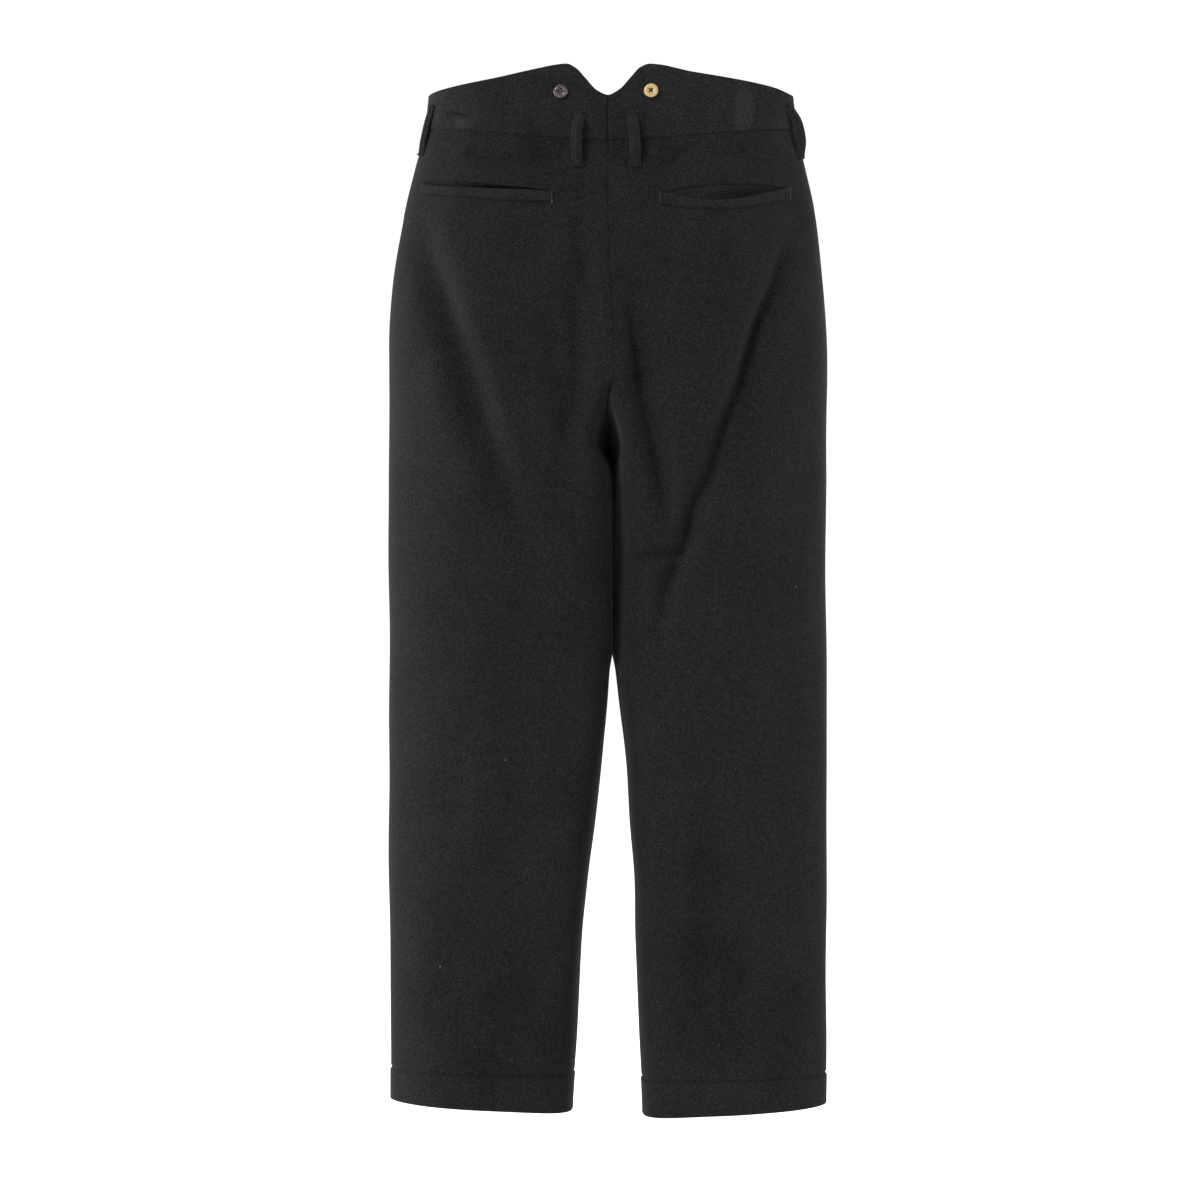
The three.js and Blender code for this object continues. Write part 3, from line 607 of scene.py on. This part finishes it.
# Base heights of a panel's rows, closer at the hem, at its stitches and at the mouths.
def rowHeights(face):
    spacing = panelCuts[face]["spacing"]
    stops = [(-1060.7, 1), (-1059.8, 1), (-1034, spacing), (-1018, 1), (-420, spacing), (-290, 2.2)]
    if face < 0:
        stops += [(mouthRows["floor"], spacing), (mouthRows["lip"] - 6, 2.6), (mouthRows["lip"], 1),
                  (mouthRows["upper"], 0.75), (mouthRows["upper"] + 6, 1), (mouthRows["roof"], 2.6), (-22.5, 2.6)]
    else:
        stops += [(-22.5, spacing)]
    heights = [hem["height"]]
    for top, step in stops + [(-20.4, 2.1), (band["seamSides"], 1)]:
        count = max(1, round((top - heights[-1]) / step))
        heights += list(np.linspace(heights[-1], top, count + 1)[1:])
    return np.array(heights)


def hemLineAt(side, x):
    return hem["line"][side] + hem["lineRise"] * (x / cloth["halfWidth"]) ** 2


def hemDrop(side, x):
    return hem["drop"][side] - hem["middleRise"] * (1 - np.abs(x) / cloth["halfWidth"])


# The heights of a back panel's rows at its pocket mouth, and how far the cloth steps in or stands out there.
def atMouth(side, low, z, around):
    mouth = mouths[side]
    start, end = mouth["ends"]
    floorRow, lipRow, upperRow, roofRow = mouthRows.values()
    x = np.abs(plain(side, -1, z, around)[0])
    within = smoothStep(start - 26, start - 2, x) * (1 - smoothStep(end + 2, end + 14, x))
    upper = upperRow + within * (between(mouth["rows"], x, "across", "upper") - upperRow)
    lip = lipRow + within * (between(mouth["rows"], x, "across", "lip") - lipRow)
    lip = np.minimum(lip, upper - 0.3)
    share = (low - lipRow) / (upperRow - lipRow)
    above = upper + (low - upperRow) / (roofRow - upperRow) * (roofRow - upper)
    below = floorRow + (low - floorRow) / (lipRow - floorRow) * (lip - floorRow)
    z = np.where((low >= lipRow) & (low <= upperRow), lip + share * (upper - lip), z)
    z = np.where((low > upperRow) & (low < roofRow), above, z)
    z = np.where((low > floorRow) & (low < lipRow), below, z)
    # The cloth steps in just under the cut edge, drops deeper behind the welt's lip and swells above the edge.
    length = np.sin(np.pi * np.clip((x - start) / (end - start), 0, 1)) ** 0.5
    behind = (low < upperRow - 0.2) & (low > lipRow - 5)
    towardsLip = smoothStep(0.75, 0.1, share) * np.exp(-(((x - mouth["deepAt"]) / mouth["deepWidth"]) ** 2))
    edge = 0.7 * np.exp(-(((low - upperRow - 0.6) / 2.2) ** 2)) * (low >= upperRow - 0.2)
    return z, length * (edge - (mouth["step"] + mouth["deep"] * towardsLip) * behind)


# Distances across the cloth from the side seam, row by row.
def lengthsAcross(points):
    return np.cumsum(np.linalg.norm(np.diff(points, axis=1, prepend=points[:, :1]), axis=2), axis=1)


def legPanel(side, face):
    base, across = rowHeights(face), rimmed(0, 1, panelCuts[face]["columns"], cloth["rim"])
    low, around = np.meshgrid(base, across, indexing="ij")
    top = seamHeight(side, face, across) + cloth["overlap"]
    roof = mouthRows["roof"]
    z = np.where(low > roof, roof + (low - roof) / (band["seamSides"] - roof) * (top - roof), low)
    step = np.zeros_like(low)
    if face < 0:
        z, step = atMouth(side, low, z, around)
    footX = plain(side, face, z, around)[0]
    z = z + np.clip((hem["easeFrom"] - low) / hem["easeOver"], 0, 1) * hemDrop(side, footX)
    points, out = skin(side, face, z, around)
    points += out * step[..., None]
    points[:, 0, 1] -= face * cloth["overlap"]
    split = base < cloth["forkHeight"] # below the fork the front and back meet, above it the left and right
    out[split, -1] = (-side, 0, 0)
    points[split, -1, 1] -= face * cloth["overlap"]
    turned = turnAt(face, base[~split])
    for column, lap in ((-1, 2.0), (-2, 1.2), (-3, 0.4)): # the left and right lap where the fork turns in
        points[~split, column, 0] -= side * (lap * turned + (cloth["overlap"] if column == -1 else 0))
    arc = lengthsAcross(points)
    fromEdge = np.minimum(arc, np.where(split[:, None], np.inf, arc[:, -1:] - arc))
    dip = cloth["seamDip"] * np.exp(-((fromEdge / cloth["seamDipWidth"]) ** 2))
    hemLine = hemLineAt(side, footX) # the blind stitches pull the cloth in just above it
    dip += hem["groove"] * np.exp(-(((z - hemLine - 1.4) / hem["grooveWidth"]) ** 2))
    dip -= hem["turnedProud"] * (1 - smoothStep(hemLine - 1.4, hemLine + 0.6, z))
    dip += cloth["bandDip"] * np.exp(-(((top - z) / cloth["bandDipWidth"]) ** 2))
    points -= out * dip[..., None]
    turnedUp = 1 - smoothStep(hem["turnedTop"], hem["turnedTop"] + hem["turnedFade"], low)
    thick = cloth["thickness"] + (hem["thickness"] - cloth["thickness"]) * turnedUp
    half, sideName = faceNames[face], sideNames[side]
    piece = makeShell(f"leg_{half}_{sideName}", f"{half}_panel_{sideName}", *rounded(points, out, thick),
                      wool[panelCuts[face]["wool"]])


for face in faceNames:
    for side in sideNames:
        legPanel(side, face)

print("stage 5: waistband")

bandCuts = {-1: {"columns": 150, "rows": 40, "wool": "bandWool"},
            1: {"columns": 56, "rows": 14, "wool": "frontBandWool"}}


def bandPiece(side, face):
    cut = bandCuts[face]
    around = rimmed(0, 1, cut["columns"], cloth["rim"])
    share = rimmed(0, 1, cut["rows"], 0.008)[:, None]
    low = seamHeight(side, face, around) - cloth["overlap"]
    tall = bandTop(face, plain(side, face, band["topSides"] + 0 * around, around)[0]) - low
    points, out = skin(side, face, low + share * tall, around + 0 * share)
    arc = lengthsAcross(points)
    fromEdge = np.minimum(arc, arc[:, -1:] - arc)
    lift = band["proud"] - band["edgeSink"] * np.exp(-((fromEdge / band["edgeSinkWidth"]) ** 2))
    lift += band["ripple"] * np.sin(arc / band["rippleLength"] + side) * smoothStep(0, 0.5, share)
    lift -= band["footSink"] * np.exp(-((share * tall / band["footSinkWidth"]) ** 2))
    points += out * lift[..., None]
    points[:, 0, 1] -= face * cloth["overlap"]
    points[:, -1, 0] -= side * cloth["overlap"]
    half, sideName = faceNames[face], sideNames[side]
    piece = makeShell(f"band_{half}_{sideName}", f"waistband_{half}_{sideName}",
                      *rounded(points, out, band["thickness"]), wool[cut["wool"]])


for face in faceNames:
    for side in sideNames:
        bandPiece(side, face)

print("stage 6: pocket welts, fly and tab")


# A strip laid on the cloth: place gives x and height for shares along and up it, lift how far it stands off.
def laidStrip(name, node, face, along, up, place, lift, thickness, material):
    u, v = np.meshgrid(along, up)
    points, out = skinAcross(face, *place(u, v))
    points = points + out * lift(u, v)[..., None]
    return makeShell(name, node, *rounded(points, out, thickness), material)


welt = {"thickness": 1.5, "lipProud": 2.6, "seamProud": 0.95, "height": 11.5}


def pocketWelt(side):
    mouth = mouths[side]
    start, end = mouth["ends"]

    def place(u, v):
        across = start + (end - start) * u
        lip = between(mouth["rows"], across, "across", "lip")
        seam = between(mouth["rows"], across, "across", "seam")
        return side * across, seam + (lip - seam) * v

    def lift(u, v):
        return welt["seamProud"] + (welt["lipProud"] - welt["seamProud"]) * np.sin(np.pi * v**1.5 * 0.62)

    piece = laidStrip("welt_" + sideNames[side], "pocket_welt_" + sideNames[side], -1, rimmed(0, 1, 60, 0.003),
                      rimmed(0, 1, 9, 0.04), place, lift, welt["thickness"], wool["bandWool"])


for side in sideNames:
    pocketWelt(side)

fly = {"width": 36, "lap": 5, "length": 175, "thickness": 1.6, "proud": 2.2}
flyTop = float(bandSeam(1, 0.0)) - 1


def flyEdge(v):
    return -fly["width"] * np.sqrt(1 - (1 - np.minimum(1, v / 0.3)) ** 2)


def flyPlace(u, v):
    return flyEdge(v) + (fly["lap"] - flyEdge(v)) * u, flyTop - fly["length"] * (1 - v)


flyPiece = laidStrip("fly", "fly_front", 1, rimmed(0, 1, 16, 0.012), rimmed(0, 1, 50, 0.003), flyPlace,
                     lambda u, v: fly["proud"] - 0.9 * (1 - u) ** 3, fly["thickness"], wool["frontPanelWool"])

tab = {"left": -24, "right": 30, "height": 35, "thickness": 1.8, "proud": 2.7}


def tabPlace(u, v):
    x = tab["left"] + (tab["right"] - tab["left"]) * u
    lowEdge = bandSeam(1, x) + 1
    return x, lowEdge + (bandTop(1, x) - 1 - lowEdge) * v


tabPiece = laidStrip("tab", "waistband_tab", 1, rimmed(0, 1, 20, 0.01), rimmed(0, 1, 14, 0.014), tabPlace,
                     lambda u, v: tab["proud"] + 0 * u, tab["thickness"], wool["frontBandWool"])

print("stage 7: belt loops, buttons and sewing")

loop = {"width": 11.5, "thickness": 2.2, "foot": 7, "ridge": 0.8, "grooves": 0.5, "curl": 1.7, "stitch": 3.1,
        "barStitches": 9}
loops = named(
    "name face top foot slack bow twist",
    ("back_left", -1, (-28.5, -9), (-31.5, -69), 5.8, -3.4, 0),
    ("back_right", -1, (25, -9), (28.5, -69), 5.6, 0.8, 0),
    ("side_left", -1, (-185.5, 3.5), (-199, -50), 0.7, -1.7, 0),
    ("side_right", -1, (190, 4), (204, -54), 3.4, 5.5, 0.55),
    ("front_left", 1, (-92, -1), (-92, -60), 4.9, 0.5, 0),
    ("front_right", 1, (92, -1), (92, -60), 4.9, -0.5, 0),
)


def joinMesh(name, parts, material):
    points, faces = [], []
    for partPoints, partFaces in parts:
        faces += [[index + len(points) for index in face] for face in partFaces]
        points += partPoints
    piece = addMesh(name, points, faces, material)
    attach(piece, "root")


# One stitch: a spindle of thread from start to end, bent over the cloth.
def stitch(start, end, out, radius):
    along = end - start
    across = along.cross(out).normalized()
    lift = across.cross(along).normalized()
    if lift.dot(out) < 0:
        lift = -lift
    points, faces, sides = [], [], 6
    rings = ((0.0, 0.2, -0.6), (0.18, 0.9, 0.1), (0.5, 1.0, 0.5), (0.82, 0.9, 0.1), (1.0, 0.2, -0.6))
    for share, size, height in rings:
        centre = start + along * share + lift * radius * height
        for k in range(sides):
            angle = 2 * math.pi * k / sides
            points.append(tuple(centre + (across * math.cos(angle) + lift * math.sin(angle)) * radius * size))
    for ring in range(len(rings) - 1):
        for k in range(sides):
            a, b = ring * sides + k, ring * sides + (k + 1) % sides
            faces.append([a, a + sides, b + sides, b])
    faces.append(list(range(sides)))
    faces.append([(len(rings) - 1) * sides + k for k in range(sides)][::-1])
    return points, faces


# Stitches on the cloth from one set of places to another, standing off by lift.
def stitchRow(face, x, z, toX, toZ, lift, radius):
    starts, outs = skinAcross(face, x, z)
    ends, endOuts = skinAcross(face, toX, toZ)
    return [stitch(Vector(a + o * lift), Vector(b + e * lift), Vector(o), radius)
            for a, b, o, e in zip(starts, ends, outs, endOuts)]


def beltLoop(spec):
    high, highOut = skinAt(spec["face"], *spec["top"])
    low, lowOut = skinAt(spec["face"], *spec["foot"])
    high += highOut * band["proud"]
    up = high - low
    length = up.length
    up.normalize()
    out = (highOut + lowOut) * (0.5 - spec["twist"] / 2) + Vector((0, spec["face"] * spec["twist"], 0))
    out = (out - up * out.dot(up)).normalized()
    across = up.cross(out)
    along = rimmed(0, 1, 44, 0.008)
    over = rimmed(-1, 1, 31, 0.03)
    points = np.zeros((len(along), len(over), 3))
    outs = np.zeros_like(points)
    footShare = loop["foot"] / length
    for i, s in enumerate(along):
        rise = float(smoothStep(footShare * 0.5, footShare * 2.6, np.array(min(s, 1 - s))))
        height = 0.5 + loop["thickness"] + spec["slack"] * rise
        bend = spec["bow"] * math.sin(math.pi * s)
        for j, w in enumerate(over):
            rounding = loop["ridge"] * math.exp(-((w / 0.42) ** 2)) - loop["curl"] * abs(w) ** 2.4
            rounding -= loop["grooves"] * math.exp(-(((abs(w) - 0.5) / 0.1) ** 2)) # under its two rows of stitches
            place = low + up * (length * s) + across * (w * loop["width"] / 2 + bend) + out * (height + rounding)
            points[i, j], outs[i, j] = place, out
    piece = makeShell("loop_" + spec["name"], "belt_loop_" + spec["name"], *rounded(points, outs, loop["thickness"]),
                      wool["loopWoolWithPaintedLight"])
    stitches = []
    for w in (-0.5, 0.5):
        column = points[:, int(np.argmin(np.abs(over - w)))]
        count = int(length / loop["stitch"])
        for k in range(count):
            first, last = (k + 0.12) / count, (k + 0.86) / count
            a, b = (Vector([np.interp(t, along, column[:, axis]) for axis in range(3)]) for t in (first, last))
            stitches.append(stitch(a - out * 0.1, b - out * 0.1, out, 0.28))
    for end in (0.03, 0.97):
        for w in np.linspace(-0.8, 0.8, loop["barStitches"]):
            centre = low + up * (length * end) + across * float(w * loop["width"] / 2)
            centre += out * (loop["thickness"] + 0.55)
            stitches.append(stitch(centre - up * 0.9, centre + up * 0.9, out, 0.3))
    joinMesh("loop_stitches_" + spec["name"], stitches, thread["darkThread"])


for spec in loops:
    beltLoop(spec)

# A button's profile runs from the middle of its back, round the domed rim, to the middle of its dished front.
button = {"holeSpacing": 1.5, "holeRadius": 0.95, "segments": 48, "profile": [
    (0.0, 0.6), (4.2, 0.6), (5.4, 0.25), (6.6, 0.3), (7.3, 0.7), (7.5, 1.2), (7.3, 1.65), (6.9, 2.05),
    (6.3, 2.5), (5.6, 2.85), (4.9, 3.0), (4.4, 2.85), (4.0, 2.5), (3.5, 2.2), (0.0, 2.15)]}


def addButton(name, material):
    segments, profile = button["segments"], button["profile"]
    points, faces = [(0, 0, profile[0][1])], []
    for radius, height in profile[1:-1]:
        for k in range(segments):
            angle = 2 * math.pi * k / segments
            points.append((radius * math.cos(angle), radius * math.sin(angle), height))
    points.append((0, 0, profile[-1][1]))
    last = len(points) - 1 - segments
    for k in range(segments):
        after = (k + 1) % segments
        faces.append((0, 1 + after, 1 + k))
        for a in range(1, last, segments):
            faces.append((a + k, a + after, a + after + segments, a + k + segments))
        faces.append((last + k, last + after, len(points) - 1))
    return addMesh(name, points, faces, material)


def sewnButton(nodeName, face, x, z, lift, material, threadHeight, turn, tip):
    point, out = skinAt(face, x, z)
    up = Vector((0, 0, 1))
    across = up.cross(out).normalized()
    up = out.cross(across).normalized()
    base = point + out * lift
    out = (out + (up - across) * tip).normalized() # the button tips a little on its threads
    across = up.cross(out).normalized()
    up = out.cross(across).normalized()
    piece = addButton(nodeName.replace("brace_button", "brace_stud"), material)
    drills = []
    gap = button["holeSpacing"]
    for dx, dy in ((gap, gap), (gap, -gap), (-gap, gap), (-gap, -gap)):
        bpy.ops.mesh.primitive_cylinder_add(vertices=20, radius=button["holeRadius"] * mm, depth=0.012,
                                            location=(dx * mm, dy * mm, 0))
        drills.append(bpy.context.object)
    for drill in drills:
        cutter = piece.modifiers.new("holes", "BOOLEAN")
        cutter.object = drill
        cutter.operation = "DIFFERENCE"
        cutter.solver = "EXACT"
    bpy.context.view_layer.update()
    evaluated = piece.evaluated_get(bpy.context.evaluated_depsgraph_get())
    cut = bpy.data.meshes.new_from_object(evaluated)
    piece.modifiers.clear()
    for drill in drills:
        bpy.data.objects.remove(drill, do_unlink=True)
    cut.name = piece.name + "_cut"
    cos, sin = math.cos(math.radians(turn)), math.sin(math.radians(turn))

    def onButton(centre, px, py, height):
        return centre + across * (px * cos - py * sin) + up * (px * sin + py * cos) + out * height

    for vertex in cut.vertices:
        vertex.co = onButton(base * mm, *vertex.co)
    piece.data = cut
    cut.materials.clear()
    cut.materials.append(material)
    for polygon in cut.polygons:
        polygon.use_smooth = True
    cut.set_sharp_from_angle(angle=math.radians(40))
    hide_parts(nodeName)
    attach(piece, "root")
    strands = []
    for (ax, ay), (bx, by) in (((-gap, -gap), (gap, gap)), ((-gap, gap), (gap, -gap))):
        for offset in (-0.32, 0.32):
            side = Vector((-(by - ay), bx - ax, 0)).normalized() * offset
            first, last = (onButton(base, px + side.x, py + side.y, threadHeight) for px, py in ((ax, ay), (bx, by)))
            strands.append(stitch(first, last, out, 0.4))
    joinMesh(piece.name + "_thread", strands, thread["darkThread"])


onBand = band["proud"] + 0.25
buttons = [
    ("brace_button_back_left", -1, -50, 12.1, onBand + 0.5, "blackHorn", 0.9, 28, 0.06),
    ("brace_button_back_right", -1, 45, 12.9, onBand + 1.0, "paleHorn", 2.2, 4, 0.13),
    ("brace_button_front_left_outer", 1, -125, 2, onBand, "blackHorn", 2.2, 20, 0),
    ("brace_button_front_left_inner", 1, -62, -2, onBand, "blackHorn", 2.2, -8, 0),
    ("brace_button_front_right_inner", 1, 62, -2, onBand, "blackHorn", 2.2, 15, 0),
    ("brace_button_front_right_outer", 1, 125, 2, onBand, "blackHorn", 2.2, 33, 0),
    ("waist_button", 1, 14, -9, tab["proud"] + 0.2, "blackHorn", 2.2, 5, 0),
]
for name, face, x, z, lift, material, threadHeight, turn, tip in buttons:
    sewnButton(name, face, x, z, lift, horn[material], threadHeight, turn, tip)

# Bars of thread at the ends of the pocket mouths, each a close row of small stitches.
bars = named(
    "name start end",
    ("left_inner", (-58.8, -94), (-58.8, -106.2)),
    ("right_inner", (53.6, -94.6), (53.6, -109)),
    ("right_outer", (191, -87.2), (191, -101.5)),
)
for bar in bars:
    share = (np.arange(22) + 0.5) / 22
    x, z = (low + (high - low) * share for low, high in zip(bar["start"], bar["end"]))
    strands = stitchRow(-1, x - 0.34, z + 0.1, x + 0.34, z - 0.1, 2.4, 0.26)
    joinMesh("thread_bar_" + bar["name"], strands, thread["greyThread"])

# Dark lines at the pocket mouths: the one just under the right mouth's upper edge, sunk into the recess, is painted
# shadow; the one along each welt's seam is its stitching, and it also stands as painted shadow under the welt's lower
# edge.
mouthShadowLines = {
    # painted shadow: a dark line sunk just under the upper edge of the mouth
    "edge": {"row": "upper", "drop": 1.0, "lift": -0.3, "radius": 0.5, "sides": (1,)},
    "seam": {"row": "seam", "drop": 0.5, "lift": 0.8, "radius": 0.42, "sides": (-1, 1)},
}
for lineName, line in mouthShadowLines.items():
    for side in line["sides"]:
        start, end = mouths[side]["ends"]
        across = np.linspace(start + 1, end - 1, 61)
        z = between(mouths[side]["rows"], across, "across", line["row"]) - line["drop"]
        strands = stitchRow(-1, side * across[:-1], z[:-1], side * across[1:], z[1:], line["lift"], line["radius"])
        joinMesh(f"mouth_{lineName}_{sideNames[side]}", strands, thread["darkThread"])

# A short hand-sewn line where the band has been taken in.
share = np.linspace(0, 1, 13)
x, z = -168 + 27 * share, -7.2 - 7 * share**1.4
strands = stitchRow(-1, x[:-1], z[:-1], x[1:] - 0.4, z[1:], band["proud"] + 0.7, 0.6)
joinMesh("band_darn", strands, thread["darkThread"])

# Loose ends: the knot under one bar and two bits of fluff caught in the nap, each a few crossed strands.
fluff = named(
    "name x z length lift strands",
    ("bar_knot", -58.6, -106.4, 1.5, 2.5, 3),
    ("lint_leg", -107.5, -690, 1.7, 0.25, 2),
    ("lint_hem", -177, -908, 1.9, 0.25, 2),
    ("lint_thigh", 197, -508, 1.7, 0.25, 2),
)
for spot in fluff:
    angle = np.arange(spot["strands"]) * 1.1 + 0.3
    reachX, reachZ = spot["length"] / 2 * np.cos(angle), spot["length"] / 2 * np.sin(angle)
    strands = stitchRow(-1, spot["x"] - reachX, spot["z"] - reachZ, spot["x"] + reachX, spot["z"] + reachZ,
                        spot["lift"], 0.24)
    joinMesh(spot["name"], strands, thread["paleThread"])

# The fine sewing along the turned-up hems, lying in its groove.
for face, half in faceNames.items():
    for side, sideName in sideNames.items():
        x = side * np.linspace(hem["sewnFrom"], hem["sewnTo"], hem["stitches"])
        z = hemLineAt(side, x) + 1.2
        strands = stitchRow(face, x[:-1], z[:-1], x[:-1] + (x[1:] - x[:-1]) * 0.8, z[1:], -0.75, 0.3)
        joinMesh(f"hem_stitches_{half}_{sideName}", strands, thread["darkThread"])

# The stitched curve that holds the fly down.
share = 0.03 + 0.96 * np.linspace(0, 1, 60) ** 1.3
x = flyEdge(share) + 3
z = flyTop - fly["length"] * (1 - share)
stepX, stepZ = np.diff(x), np.diff(z)
strands = stitchRow(1, x[:-1] + stepX * 0.1, z[:-1] + stepZ * 0.1, x[:-1] + stepX * 0.88, z[:-1] + stepZ * 0.88,
                    1.85, 0.3)
joinMesh("fly_stitches", strands, thread["darkThread"])

print("stage 8: floor")

floorData = {"height": -1.25, "radius": 14, "colour": (0.93, 0.93, 0.93, 1)}
bpy.ops.mesh.primitive_circle_add(vertices=96, radius=floorData["radius"], fill_type="NGON",
                                  location=(0, 0, floorData["height"]))
floor = bpy.context.object
floor.name = "floor"
floorMaterial, floorTree, floorShader = startMaterial("paleFloor", {
    "Base Color": floorData["colour"], "Roughness": 0.9, "Emission Color": (1, 1, 1, 1)})
feed(floorShader, {"Emission Strength": addNode(floorTree, "LightPath").outputs["Is Camera Ray"]})
floor.data.materials.append(floorMaterial)
